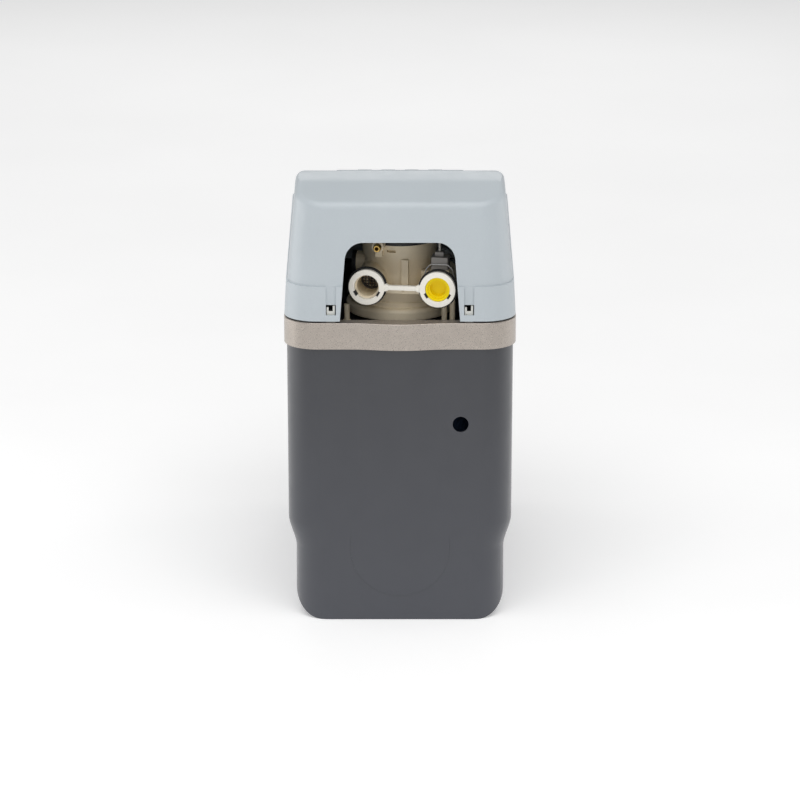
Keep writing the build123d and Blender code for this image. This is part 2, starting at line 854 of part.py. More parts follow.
def wave_washer():
    return on_head(post(0, 0, chamber_floor + 11, chamber_floor + 12.5, 24) - post(0, 0, 412, 416, 17))


def gear_plate():
    plate = post(0, 0, cover_plate_top, gear_plate_top, body_radius + 3)
    plate += block(-34, 34, 20, 84, cover_plate_top, gear_plate_top)
    plate += block(-60, -30, -13, 13, cover_plate_top, gear_plate_top)
    plate -= post(0, 0, cover_plate_top - 1, gear_plate_top + 1, 6.05)
    for angle in range(45, 360, 90):
        plate -= Rot(0, 0, angle) * post(38.5, 0, cover_plate_top - 1, gear_plate_top + 1, 1.6)
    plate -= post(0, 45, cover_plate_top - 1, gear_plate_top + 1, 3.05)
    for u, v in gear_posts:
        plate += post(u, v, gear_plate_top, gear_plate_top + 12, 3.5)
        plate -= post(u, v, gear_plate_top + 4, gear_plate_top + 13, 1.55)
    return on_head(plate)


def involute_flank(base, start, tip, lead):
    """Points on one flank, from just above the root out to the tip circle."""
    points = []
    for index in range(5):
        radius = start + (tip - start) * index / 4
        roll = math.sqrt((radius / base) ** 2 - 1)
        points.append((radius, lead - (roll - math.atan(roll))))
    return points


def gear_face(teeth, phase):
    """Involute spur gear, teeth a little thin for backlash, first tooth at phase degrees."""
    pitch = gear_module * teeth / 2
    base = pitch * math.cos(math.radians(20))
    tip = pitch + gear_module * 0.94
    root = pitch - gear_module * 1.22
    half = (math.pi * gear_module / 2 - tooth_thinning) / (2 * pitch)
    lead = half + math.tan(math.radians(20)) - math.radians(20)
    rising = involute_flank(base, max(base, root) + 0.2, tip, lead)
    flank = [(radius, -angle) for radius, angle in rising] + rising[::-1]
    outline = [(root, -lead)] + flank + [(root, lead)]
    points = []
    for tooth in range(teeth):
        middle = math.radians(phase) + 2 * math.pi * tooth / teeth
        for radius, angle in outline:
            points.append((radius * math.cos(middle + angle), radius * math.sin(middle + angle)))
    return make_face(Polyline(*points, close=True))


def drive_gear():
    """Large gear on the rotor's shaft, with a cam ring on its top."""
    teeth = extrude(gear_face(gear_teeth, 90), gear_high - gear_low, dir=(0, 0, 1))
    gear = Pos(0, 0, gear_low) * teeth
    gear += post(0, 0, gear_high, gear_high + 4, 18) - post(0, 0, gear_high, gear_high + 5, 14)
    gear -= block(12, 20, -5, 5, gear_high, gear_high + 5)
    gear -= post(0, 0, gear_low - 1, gear_high + 6, 6)
    return on_head(gear)


def motor_pinion():
    phase = 270 + 180.0 / pinion_teeth
    teeth = extrude(gear_face(pinion_teeth, phase), gear_high - gear_low, dir=(0, 0, 1))
    pinion = Pos(0, 0, gear_low) * teeth
    pinion += post(0, 0, cover_plate_top, 456, 3)
    return on_head(Pos(0, 45, 0) * pinion)


def motor_bridge():
    z0 = gear_plate_top + 12
    bridge = block(-33, 33, 33, 84, z0, z0 + 2)
    bridge -= post(0, 45, z0 - 1, z0 + 3, 3.3)
    for u, v in gear_posts:
        bridge -= post(u, v, z0 - 1, z0 + 3, 1.6)
    return on_head(bridge)


def bridge_screws():
    screws = []
    z0 = gear_plate_top + 14
    for u, v in gear_posts:
        screws.append(on_head(post(u, v, z0, z0 + 2, 2.8) + post(u, v, z0 - 8, z0, 1.5)))
    return Compound(screws)


def drive_motor():
    z0 = gear_plate_top + 14
    motor = post(0, 54, z0, z0 + 24, 18.5)
    motor = fillet(motor.edges().group_by(Axis.Z)[-1], 2)
    motor += block(-7, 7, 70, 78, z0 + 4, z0 + 16)
    motor -= post(0, 45, z0 - 1, z0 + 3, 3.3)
    return on_head(motor)


def position_switch():
    z0 = gear_plate_top
    switch = block(-56, -46, -10, 10, z0, z0 + 12)
    switch += block(-47, -41, -3, 3, z0 + 9, z0 + 11.5)
    return on_head(switch)


def cover_screws():
    screws = []
    for angle in range(45, 360, 90):
        spot = Rot(0, 0, angle) * Pos(38.5, 0, 0)
        screw = post(0, 0, body_top - 9, gear_plate_top, 1.5)
        screw += post(0, 0, gear_plate_top, gear_plate_top + 1.6, 2.8)
        screws.append(on_head(spot * screw))
    return Compound(screws)


def injector_cap():
    return on_head(rod_x(8, 404, -57, -52, 13.5) + rod_x(8, 404, -52, -44, 7.9) - rod_x(8, 404, -53, -43, 6))


def injector_nozzle():
    return on_head(rod_x(8, 404, -51, -39, 5.9) - rod_x(8, 404, -52, -38, 1.2))


def head_posts():
    """Plain props between the tray and the underside of the ports."""
    props = []
    for u, top in ((61, 380), (70.5, 384.5), (-53.5, 372)):
        prop = post(u, -64, deck_top, top, 3.2) + post(u, -64, deck_top, deck_top + 3, 4.5)
        props.append(on_head(prop))
    return Compound(props)


# ---------------------------------------------------------------- brine side

def brine_well():
    tube = post(well_x, well_y, floor_thickness, well_top, well_radius)
    tube -= post(well_x, well_y, floor_thickness + 2, well_top + 1, well_radius - 2)
    for z in (12, 22, 32):
        tube -= block(well_x - 5, well_x + 5, well_y - 50, well_y + 50, z, z + 4)
    tube -= block(well_x - 7, well_x + 7, well_y - 50, well_y, well_top - 26, well_top + 1)
    return tube


def well_cap():
    cap = post(well_x, well_y, well_top, well_top + 3, well_radius + 2)
    cap += post(well_x, well_y, well_top - 8, well_top, well_radius - 2.3)
    cap -= post(well_x, well_y, well_top - 9, well_top - 1, well_radius - 4.5)
    return cap


def brine_valve():
    valve = post(well_x, well_y, 270, 296, 11) + post(well_x, well_y, 296, 306, 6)
    arm = well_radius - 2.7
    valve += block(well_x - arm, well_x + arm, well_y - 5, well_y + 5, 272, 276)
    valve -= post(well_x + 24, well_y, 271, 277, 3.05)
    valve -= post(well_x, well_y, 269, 292, 3.1)
    valve -= post(well_x, well_y, 291, 307, 2.6)
    return valve


def float_and_rod():
    cup = post(well_x, well_y, 70, 108, float_radius) + post(well_x, well_y, 40, rod_top, 3)
    cup += post(well_x, well_y, 108, 112, 5) + post(well_x, well_y, 66, 70, 5)
    return cup


def pickup_tube():
    tube = post(well_x + 24, well_y, 10, 282, 3) - post(well_x + 24, well_y, 9, 283, 2)
    return tube


def tube_path(points):
    """Straight runs joined by tangent arcs, each as large as its two runs allow."""
    radii = []
    for before, here, after in zip(points, points[1:], points[2:]):
        run_in = Vector(here) - Vector(before)
        run_out = Vector(after) - Vector(here)
        turn = math.radians(run_in.get_angle(run_out))
        radii.append(0.45 * min(run_in.length, run_out.length) / math.tan(turn / 2))
    return FilletPolyline(*points, radius=radii), min(radii)


def tube_along(points, radius, bore=0.0):
    path, tightest = tube_path(points)
    start = Plane(origin=path @ 0, z_dir=path % 0)
    tube = sweep(start * Circle(radius), path=path)
    if bore:
        tube -= sweep(start * Circle(bore), path=path)
    print("tube length", round(path.length, 1), "tightest bend", round(tightest, 1))
    return tube


# ---------------------------------------------------------------- files

save(cabinet_tub(), "cabinet_tub")
save(rim_band(), "rim_band")
save(head_tray(), "head_tray")
save(rear_cover(), "rear_cover")
save(salt_lid(), "salt_lid")
save(lid_hinge_pins(), "lid_hinge_pins")
save(lid_bumpers(), "lid_bumpers")
save(snap_hooks(), "snap_hooks")
save(panel_bezel(), "panel_bezel")
save(display_window(), "display_window")
save(display_module(), "display_module")
save(control_board(), "control_board")
save(panel_screws(), "panel_screws")
for number, name in enumerate(button_names):
    save(panel_button(number), name)
save(resin_tank(), "resin_tank")
save(resin_bed(), "resin_bed")
save(riser_tube(), "riser_tube")
save(bottom_strainer(), "bottom_strainer")
save(top_strainer(), "top_strainer")
save(neck_clamp(), "neck_clamp")
save(clamp_screws(), "clamp_screws")
save(valve_base(), "valve_base")
save(neck_seal(), "neck_seal")
save(finished_valve_body(), "valve_body")
save(port_yoke(), "port_yoke")
save(inlet_screen(), "inlet_screen")
save(transit_plug(), "transit_plug")
save(turbine_cage(), "turbine_cage")
save(flow_turbine(), "flow_turbine")
save(flow_sensor(), "flow_sensor")
save(sensor_clip(), "sensor_clip")
save(valve_cover(), "valve_cover")
save(drain_barb(), "drain_barb")
save(rotor_seal(), "rotor_seal")
save(rotor_disc(), "rotor_disc")
save(wave_washer(), "wave_washer")
save(gear_plate(), "gear_plate")
save(drive_gear(), "drive_gear")
save(motor_pinion(), "motor_pinion")
save(motor_bridge(), "motor_bridge")
save(bridge_screws(), "bridge_screws")
save(drive_motor(), "drive_motor")
save(position_switch(), "position_switch")
save(cover_screws(), "cover_screws")
save(injector_cap(), "injector_cap")
save(injector_nozzle(), "injector_nozzle")
save(head_posts(), "head_posts")
save(brine_well(), "brine_well")
save(well_cap(), "well_cap")
save(brine_valve(), "brine_valve")
save(float_and_rod(), "float_and_rod")
save(pickup_tube(), "pickup_tube")
save(tube_along(brine_line_route, 3.9, 2.5), "brine_line")
save(tube_along(sensor_cable_route, sensor_cable_radius), "sensor_cable")
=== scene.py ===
"""Looks of the compact water softener: materials, softened edges, lead, display, lights and camera."""
import bmesh
import bpy
import json
import math
from mathutils import Matrix, Vector


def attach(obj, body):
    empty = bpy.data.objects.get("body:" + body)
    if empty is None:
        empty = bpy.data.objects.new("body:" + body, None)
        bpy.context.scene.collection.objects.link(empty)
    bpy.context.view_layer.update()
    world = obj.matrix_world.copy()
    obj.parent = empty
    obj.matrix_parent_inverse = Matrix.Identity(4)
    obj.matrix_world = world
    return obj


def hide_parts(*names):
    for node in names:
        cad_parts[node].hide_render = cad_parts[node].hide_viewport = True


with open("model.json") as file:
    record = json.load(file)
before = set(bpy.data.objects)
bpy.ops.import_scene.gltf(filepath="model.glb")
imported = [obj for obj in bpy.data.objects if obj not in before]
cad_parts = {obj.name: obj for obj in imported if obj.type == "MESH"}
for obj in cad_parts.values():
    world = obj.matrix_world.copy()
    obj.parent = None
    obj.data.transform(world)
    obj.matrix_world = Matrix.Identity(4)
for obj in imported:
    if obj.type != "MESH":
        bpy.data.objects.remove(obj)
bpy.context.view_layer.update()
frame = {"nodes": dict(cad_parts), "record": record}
NODES = frame["nodes"]
SCENE = bpy.context.scene

# Sizes in metres
FALL_ANGLE = math.radians(15.0)
LEAD_DIAMETER = 0.0024
FULL_TURN = 2 * math.pi

# Noise scales, per metre of the piece
CLOUD_SCALE = 9.0
WAVE_SCALE = 7.0
SHEEN_SCALE = 55.0
FLAKE_SCALE = 1500.0
BRUSH_SCALE = 700.0
WINDING_SCALE = 60.0
BEAD_SCALE = 1300.0
TRACK_SCALE = 260.0
# Height up to which the tub's foot is painted paler: painted light from the floor
TUB_FLOOR_LIGHT_TOP = 0.34

# The lead's route from the flow sensor up and over to the control board
LEAD_ROUTE = [
    (0.0462, -0.1876, 0.4370),
    (0.0462, -0.1870, 0.4500),
    (0.0450, -0.1800, 0.4640),
    (0.0420, -0.1650, 0.4750),
    (0.0380, -0.1460, 0.4790),
    (0.0350, -0.1240, 0.4760),
    (0.0340, -0.1030, 0.4700),
    (0.0350, -0.0840, 0.4645),
    (0.0365, -0.0715, 0.4670),
    (0.0370, -0.0648, 0.4750),
    (0.0370, -0.06265, 0.4832),
]


# ---------------------------------------------------------------- materials

def linear(value):
    value /= 255.0
    return value / 12.92 if value <= 0.04045 else ((value + 0.055) / 1.055) ** 2.4


def colour(red, green, blue):
    return (linear(red), linear(green), linear(blue), 1.0)


def scaled(tone, factor):
    return tuple(min(1.0, channel * factor) for channel in tone[:3]) + (1.0,)


class Recipe:
    """A new Principled material with short calls for the nodes that every finish here needs."""

    def __init__(self, name, roughness, metallic=0.0, coat=0.0, specular=0.5):
        self.material = bpy.data.materials.new(name)
        self.material.use_nodes = True
        self.tree = self.material.node_tree
        self.shader = self.tree.nodes["Principled BSDF"]
        self.shader.inputs["Roughness"].default_value = roughness
        self.shader.inputs["Metallic"].default_value = metallic
        self.shader.inputs["Coat Weight"].default_value = coat
        self.shader.inputs["Specular IOR Level"].default_value = specular
        self.place = self.node("ShaderNodeTexCoord").outputs["Object"]

    def node(self, kind):
        return self.tree.nodes.new(kind)

    def link(self, source, target):
        self.tree.links.new(source, target)

    def noise(self, scale, detail=3.0, stretch=(1.0, 1.0, 1.0)):
        mapping = self.node("ShaderNodeMapping")
        mapping.inputs["Scale"].default_value = stretch
        self.link(self.place, mapping.inputs["Vector"])
        noise = self.node("ShaderNodeTexNoise")
        noise.inputs["Scale"].default_value = scale
        noise.inputs["Detail"].default_value = detail
        noise.inputs["Roughness"].default_value = 0.55
        self.link(mapping.outputs["Vector"], noise.inputs["Vector"])
        return noise.outputs["Fac"]

    def cells(self, scale, output="Color"):
        cells = self.node("ShaderNodeTexVoronoi")
        cells.inputs["Scale"].default_value = scale
        self.link(self.place, cells.inputs["Vector"])
        return cells.outputs[output]

    def spread(self, value, low, high, from_low=0.3, from_high=0.7):
        span = self.node("ShaderNodeMapRange")
        span.inputs["From Min"].default_value = from_low
        span.inputs["From Max"].default_value = from_high
        span.inputs["To Min"].default_value = low
        span.inputs["To Max"].default_value = high
        self.link(value, span.inputs["Value"])
        return span.outputs["Result"]

    def blend(self, factor, first, second):
        mix = self.node("ShaderNodeMix")
        mix.data_type = "RGBA"
        self.link(factor, mix.inputs["Factor"])
        for socket, tone in ((mix.inputs["A"], first), (mix.inputs["B"], second)):
            if isinstance(tone, tuple):
                socket.default_value = tone
            else:
                self.link(tone, socket)
        return mix.outputs["Result"]

    def paint(self, tone):
        self.link(tone, self.shader.inputs["Base Color"])

    def roughen(self, value):
        self.link(value, self.shader.inputs["Roughness"])

    def emboss(self, height, strength, distance):
        previous = None
        if self.shader.inputs["Normal"].is_linked:
            previous = self.shader.inputs["Normal"].links[0].from_socket
        bump = self.node("ShaderNodeBump")
        bump.inputs["Strength"].default_value = strength
        bump.inputs["Distance"].default_value = distance
        self.link(height, bump.inputs["Height"])
        if previous is not None:
            self.link(previous, bump.inputs["Normal"])
        self.link(bump.outputs["Normal"], self.shader.inputs["Normal"])


def moulded(name, tone, roughness=0.45, mottle=0.05, grain=1800.0, depth=0.00004, coat=0.0,
            specular=0.5, waviness=0.25):
    """Injection-moulded plastic: cloudy tone, spark-eroded grain, uneven sheen."""
    recipe = Recipe(name, roughness, coat=coat, specular=specular)
    cloud = recipe.spread(recipe.noise(CLOUD_SCALE, 4.0), 0.0, 1.0)
    body = recipe.blend(cloud, scaled(tone, 1.0 - mottle), scaled(tone, 1.0 + mottle))
    speck = recipe.spread(recipe.noise(grain * 0.5, 2.0), 0.0, 0.22)
    recipe.paint(recipe.blend(speck, body, scaled(tone, 0.82)))
    recipe.roughen(recipe.spread(recipe.noise(SHEEN_SCALE, 4.0), roughness - 0.05, roughness + 0.06))
    recipe.emboss(recipe.noise(grain, 2.0), 0.35, depth)
    recipe.emboss(recipe.noise(WAVE_SCALE, 2.0), waviness, 0.0006)
    return recipe.material


def sparkle_silver():
    """Warm silver lacquer with fine bright flakes."""
    recipe = Recipe("warm_silver", 0.36, metallic=0.72, coat=0.25)
    base = colour(184, 175, 166)
    flakes = recipe.node("ShaderNodeSeparateColor")
    recipe.link(recipe.cells(FLAKE_SCALE), flakes.inputs["Color"])
    grain = recipe.spread(flakes.outputs["Red"], 0.0, 1.0, 0.0, 1.0)
    fine = recipe.blend(grain, scaled(base, 0.8), scaled(base, 1.1))
    cloud = recipe.spread(recipe.noise(160.0, 5.0), 0.0, 0.55)
    recipe.paint(recipe.blend(cloud, fine, scaled(base, 0.8)))
    recipe.roughen(recipe.spread(flakes.outputs["Green"], 0.26, 0.5, 0.0, 1.0))
    recipe.emboss(flakes.outputs["Blue"], 0.25, 0.00008)
    return recipe.material


def slate_tub():
    """Dark blow-moulded tub, slightly cloudy, with faint upright flow marks; painted light from the floor
    makes it paler towards its foot.
    """
    recipe = Recipe("slate_tub", 0.34, coat=0.4, specular=0.65)
    recipe.shader.inputs["Coat Roughness"].default_value = 0.22
    base = colour(40, 42, 49)
    cloud = recipe.spread(recipe.noise(6.0, 5.0), 0.0, 1.0)
    body = recipe.blend(cloud, scaled(base, 0.92), scaled(base, 1.06))
    streak = recipe.spread(recipe.noise(60.0, 4.0, stretch=(1.0, 1.0, 0.06)), 0.0, 0.3)
    marked = recipe.blend(streak, body, scaled(base, 0.88))
    dust = recipe.spread(recipe.noise(900.0, 2.0), 0.0, 0.35, 0.62, 0.8)
    dusted = recipe.blend(dust, marked, scaled(base, 1.5))
    # Painted light: the tub grows paler towards its foot, standing in for light thrown up from the bright
    # floor.
    height = recipe.node("ShaderNodeSeparateXYZ")
    recipe.link(recipe.place, height.inputs["Vector"])
    painted_floor_light = recipe.spread(height.outputs["Z"], 0.7, 0.0, 0.0, TUB_FLOOR_LIGHT_TOP)
    recipe.paint(recipe.blend(painted_floor_light, dusted, scaled(base, 2.4)))
    recipe.roughen(recipe.spread(recipe.noise(40.0, 4.0), 0.3, 0.42))
    recipe.emboss(recipe.noise(1500.0, 2.0), 0.35, 0.00005)
    recipe.emboss(recipe.noise(11.0, 2.0, stretch=(1.0, 1.0, 0.3)), 0.3, 0.0009)
    return recipe.material


def brushed_metal(name, tone, roughness, stretch):
    """Bare metal with fine lines, long in the direction where stretch is small."""
    recipe = Recipe(name, roughness, metallic=1.0)
    lines = recipe.noise(BRUSH_SCALE, 4.0, stretch=stretch)
    recipe.paint(recipe.blend(recipe.spread(lines, 0.0, 1.0), scaled(tone, 0.8), scaled(tone, 1.1)))
    recipe.roughen(recipe.spread(recipe.noise(90.0, 3.0), roughness - 0.06, roughness + 0.1))
    recipe.emboss(lines, 0.3, 0.00003)
    return recipe.material


def wound_tank():
    """Glass-fibre winding: two crossed sets of bands under resin."""
    recipe = Recipe("wound_tank", 0.3, coat=0.4)
    base = colour(62, 78, 104)
    bands = []
    for lean in (0.9, -0.9):
        mapping = recipe.node("ShaderNodeMapping")
        mapping.inputs["Rotation"].default_value = (0.0, lean, lean)
        recipe.link(recipe.place, mapping.inputs["Vector"])
        wave = recipe.node("ShaderNodeTexWave")
        wave.inputs["Scale"].default_value = WINDING_SCALE
        wave.inputs["Distortion"].default_value = 1.5
        recipe.link(mapping.outputs["Vector"], wave.inputs["Vector"])
        bands.append(wave.outputs["Fac"])
    first = recipe.blend(bands[0], scaled(base, 0.75), scaled(base, 1.1))
    recipe.paint(recipe.blend(recipe.spread(bands[1], 0.0, 0.5), first, scaled(base, 1.5)))
    recipe.emboss(bands[0], 0.3, 0.0004)
    recipe.emboss(bands[1], 0.3, 0.0004)
    return recipe.material


def resin_beads():
    """Amber ion-exchange beads."""
    recipe = Recipe("resin_beads", 0.35, coat=0.5)
    base = colour(176, 112, 44)
    shade = recipe.node("ShaderNodeSeparateColor")
    recipe.link(recipe.cells(BEAD_SCALE), shade.inputs["Color"])
    recipe.paint(recipe.blend(shade.outputs["Red"], scaled(base, 0.6), scaled(base, 1.25)))
    recipe.emboss(recipe.cells(BEAD_SCALE, "Distance"), 0.8, 0.0005)
    return recipe.material


def circuit_board():
    """Green board with a lighter grid of tracks."""
    recipe = Recipe("circuit_board", 0.38, coat=0.3)
    base = colour(26, 98, 58)
    tracks = recipe.node("ShaderNodeTexBrick")
    tracks.inputs["Scale"].default_value = TRACK_SCALE
    tracks.inputs["Color1"].default_value = scaled(base, 0.8)
    tracks.inputs["Color2"].default_value = base
    tracks.inputs["Mortar"].default_value = scaled(base, 1.7)
    tracks.inputs["Mortar Size"].default_value = 0.03
    recipe.link(recipe.place, tracks.inputs["Vector"])
    recipe.paint(tracks.outputs["Color"])
    recipe.emboss(tracks.outputs["Fac"], 0.3, 0.0001)
    return recipe.material


def clear_window():
    recipe = Recipe("clear_window", 0.08, specular=0.6)
    recipe.roughen(recipe.spread(recipe.noise(30.0, 3.0), 0.05, 0.12))
    recipe.shader.inputs["Base Color"].default_value = colour(205, 215, 212)
    recipe.shader.inputs["Transmission Weight"].default_value = 0.92
    recipe.shader.inputs["IOR"].default_value = 1.49
    return recipe.material


def display_face():
    recipe = Recipe("display_face", 0.25, coat=0.3)
    base = colour(150, 164, 138)
    cloud = recipe.spread(recipe.noise(20.0, 3.0), 0.0, 1.0)
    recipe.paint(recipe.blend(cloud, scaled(base, 0.92), scaled(base, 1.05)))
    recipe.emboss(recipe.noise(2600.0, 1.0), 0.15, 0.00002)
    return recipe.material


def build_finishes():
    return {
        "tub": slate_tub(),
        "band": sparkle_silver(),
        "cover": moulded("pale_cover", colour(190, 198, 203), 0.38, 0.02, 2200.0, 0.00003, coat=0.08),
        "black_plastic": moulded("black_plastic", colour(30, 30, 33), 0.5, 0.1),
        "white_plastic": moulded("white_plastic", colour(232, 232, 226), 0.4, 0.02),
        "steel": brushed_metal("brushed_steel", colour(196, 196, 196), 0.32, (1.0, 0.05, 1.0)),
        "rubber": moulded("black_rubber", colour(34, 34, 34), 0.75, 0.12, 900.0, 0.0001),
        "panel": moulded("panel_silver", colour(172, 180, 185), 0.34, 0.02, 2600.0, 0.00002, waviness=0.03),
        "glass": clear_window(),
        "lcd": display_face(),
        "board": circuit_board(),
        "button": moulded("key_grey", colour(206, 210, 212), 0.42, 0.02),
        "tank": wound_tank(),
        "resin": resin_beads(),
        "head_beige": moulded("head_beige", colour(240, 226, 198), 0.42, 0.09, 1300.0, 0.00006),
        "ring_cream": moulded("ring_cream", colour(250, 246, 236), 0.36, 0.02, 1600.0, 0.00004),
        "yellow": moulded("plug_yellow", colour(250, 224, 0), 0.42, 0.02, 1500.0, 0.00003, specular=0.25),
        "sensor_grey": moulded("sensor_grey", colour(150, 146, 142), 0.42, 0.08),
        "brass": brushed_metal("plain_brass", colour(206, 172, 98), 0.3, (1.0, 0.1, 1.0)),
        "ceramic": moulded("ground_ceramic", colour(232, 228, 216), 0.22, 0.02, 3000.0, 0.00001, coat=0.4),
        "gear": moulded("natural_acetal", colour(236, 230, 214), 0.34, 0.03),
        "float": moulded("float_orange", colour(206, 86, 44), 0.4, 0.05),
        "line": moulded("milky_tube", colour(222, 226, 228), 0.3, 0.03, coat=0.2),
        # Dark brown for the inlet screen: painted shade of the port's bore
        "screen_painted_shade": moulded("screen_painted_shade", colour(58, 50, 44), 0.5, 0.1),
        "print": moulded("panel_print", colour(70, 76, 82), 0.5, 0.05, 3000.0, 0.00001),
        "segment": moulded("display_segment", colour(20, 24, 20), 0.3, 0.04, 3000.0, 0.00001),
        "cable": moulded("pale_sheath", colour(214, 212, 204), 0.45, 0.04, 2400.0, 0.00002),
    }


FINISHES = build_finishes()


def dress(piece, finish):
    piece.data.materials.clear()
    piece.data.materials.append(FINISHES[finish])


# ---------------------------------------------------------------- carried-over CAD nodes

# Width of the rounding on each piece's sharp edges
EDGE_SOFTNESS = {
    "cabinet_tub": 0.0020,
    "rim_band": 0.0016,
    "rear_cover": 0.0008,
    "salt_lid": 0.0008,
    "port_yoke": 0.0009,
    "transit_plug": 0.0006,
    "valve_body": 0.0009,
    "valve_base": 0.0009,
    "valve_cover": 0.0008,
    "flow_sensor": 0.0007,
    "panel_bezel": 0.0004,
    "snap_hooks": 0.0004,
    "head_tray": 0.0008,
}


def soften(piece, width):
    """Joins the split faces, rounds sharp edges a little and keeps the flats flat."""
    weld = piece.modifiers.new("weld", "WELD")
    weld.merge_threshold = 0.000002
    bevel = piece.modifiers.new("edges", "BEVEL")
    bevel.width = width
    bevel.segments = 3
    bevel.limit_method = "ANGLE"
    bevel.angle_limit = math.radians(38)
    bevel.use_clamp_overlap = True
    flats = piece.modifiers.new("flats", "WEIGHTED_NORMAL")
    flats.keep_sharp = True
    for face in piece.data.polygons:
        face.use_smooth = True


slot_of = {entry["node"]: entry["material_slot"] for entry in frame["record"]["subparts"]}
for name, piece in NODES.items():
    dress(piece, slot_of[name])
    if name in EDGE_SOFTNESS:
        soften(piece, EDGE_SOFTNESS[name])


# ---------------------------------------------------------------- the sensor's lead

def make_lead():
    curve = bpy.data.curves.new("sensor_lead", "CURVE")
    curve.dimensions = "3D"
    curve.bevel_depth = LEAD_DIAMETER / 2
    curve.bevel_resolution = 4
    curve.use_fill_caps = True
    spline = curve.splines.new("NURBS")
    spline.points.add(len(LEAD_ROUTE) - 1)
    for point, place in zip(spline.points, LEAD_ROUTE):
        point.co = (*place, 1.0)
    spline.order_u = 3
    spline.use_endpoint_u = True
    spline.resolution_u = 12
    lead = bpy.data.objects.new("sensor_lead", curve)
    SCENE.collection.objects.link(lead)
    dress(lead, "cable")
    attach(lead, "cabinet")
    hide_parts("sensor_cable")


make_lead()


# ---------------------------------------------------------------- fine detail

# The two port rings, in the control head's own frame
HEAD_YAW = math.radians(-8.0)
HEAD_ORIGIN = Vector((0.0, -0.125, 0.0))
PORT_HEIGHT = 0.398
PORT_PLACES = {"inlet": -0.0275, "outlet": 0.0555}
PORT_FRONT = -0.084
# Black arcs inside each ring's slots: painted shade of the deep slots
SLOT_SHADE_MIDDLES = {"left": -150, "right": -30}
SLOT_SHADE_HALF_ANGLE = math.radians(10.5)
DARK_OUTLINE_PROFILE = [
    (0.0211, 0.0045), (0.0222, 0.0042), (0.0229, 0.0050),
    (0.0230, 0.0085), (0.0222, 0.0098), (0.0211, 0.0100),
]
SLOT_SHADE_PROFILE = [
    (0.0144, 0.0012), (0.0148, 0.0006), (0.0163, 0.0006),
    (0.0166, 0.0012), (0.0166, 0.0078), (0.0144, 0.0078),
]


def on_head(point):
    return Matrix.Rotation(HEAD_YAW, 3, "Z") @ Vector(point) + HEAD_ORIGIN


def new_piece(name, form, finish, body="cabinet", smooth=True):
    """Adds the finished form as a piece that rides on a body and takes the named finish."""
    bmesh.ops.recalc_face_normals(form, faces=form.faces)
    mesh = bpy.data.meshes.new(name)
    form.to_mesh(mesh)
    form.free()
    piece = bpy.data.objects.new(name, mesh)
    SCENE.collection.objects.link(piece)
    dress(piece, finish)
    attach(piece, body)
    for face in mesh.polygons:
        face.use_smooth = smooth


def turned_ring(name, profile, place, finish, start=0.0, sweep=FULL_TURN, steps=96):
    """A closed profile of (radius, depth) pairs turned about the port's axis, all the way or in part."""
    form = bmesh.new()
    loops = []
    whole = sweep == FULL_TURN
    for step in range(steps):
        angle = start + sweep * step / (steps if whole else steps - 1)
        ring = []
        for radius, depth in profile:
            across = place[0] + radius * math.cos(angle)
            height = place[2] + radius * math.sin(angle)
            ring.append(form.verts.new(on_head((across, place[1] + depth, height))))
        loops.append(ring)
    for step in range(steps if whole else steps - 1):
        here, after = loops[step], loops[(step + 1) % steps]
        for index in range(len(profile)):
            following = (index + 1) % len(profile)
            form.faces.new((here[index], here[following], after[following], after[index]))
    if not whole:
        form.faces.new(loops[0])
        form.faces.new(loops[-1][::-1])
    new_piece(name, form, finish)


def make_port_dark_outlines():
    """Black ring with rounded lips behind each pale ring, giving it a dark outline."""
    for name, across in PORT_PLACES.items():
        turned_ring(name + "_dark_outline", DARK_OUTLINE_PROFILE, (across, PORT_FRONT, PORT_HEIGHT), "rubber")


def make_slot_shades():
    """Black arcs just inside the two slots of each ring: painted shade that darkens the deep slots."""
    for name, across in PORT_PLACES.items():
        for side, middle in SLOT_SHADE_MIDDLES.items():
            turned_ring(f"{name}_slot_shade_{side}", SLOT_SHADE_PROFILE, (across, PORT_FRONT, PORT_HEIGHT),
                        "black_plastic", math.radians(middle) - SLOT_SHADE_HALF_ANGLE,
                        2 * SLOT_SHADE_HALF_ANGLE, 12)


make_port_dark_outlines()
make_slot_shades()


PANEL_ORIGIN = Vector((0.0, -0.032, 0.4932814))
PANEL_TURN = Matrix.Rotation(-FALL_ANGLE, 3, "X")
CHAMFER_PART = 0.4
TOP_SHARE = 0.94


def on_panel(x, y, z):
    return PANEL_TURN @ Vector((x, y, z)) + PANEL_ORIGIN


def raised_shape(name, outlines, low, high, finish, body="cabinet"):
    """Thin raised shapes on the control panel, each with a narrower top so that its edge is chamfered."""
    form = bmesh.new()
    for outline in outlines:
        middle = Vector((sum(p[0] for p in outline), sum(p[1] for p in outline))) / len(outline)
        rings = []
        for height, share in ((low, 1.0), (high - (high - low) * CHAMFER_PART, 1.0), (high, TOP_SHARE)):
            ring = []
            for x, y in outline:
                place = middle + (Vector((x, y)) - middle) * share
                ring.append(form.verts.new(on_panel(place.x, place.y, height)))
            rings.append(ring)
        for lower, upper in zip(rings, rings[1:]):
            for index in range(len(outline)):
                following = (index + 1) % len(outline)
                form.faces.new((lower[index], lower[following], upper[following], upper[index]))
        form.faces.new(rings[-1])
        form.faces.new(rings[0][::-1])
    new_piece(name, form, finish, body, smooth=False)


KEY_SPACING = 0.028
KEY_ROW = 0.025
KEY_TOP = 0.0033
MARK_SUNK = 0.0004
MARK_PROUD = 0.00012
ARROW_SIZE = 0.0032
ARROW_BLUNTING = 0.16
ARROW_TURNS = {"left_key": math.pi, "down_key": math.pi / 2, "up_key": -math.pi / 2, "right_key": 0.0}

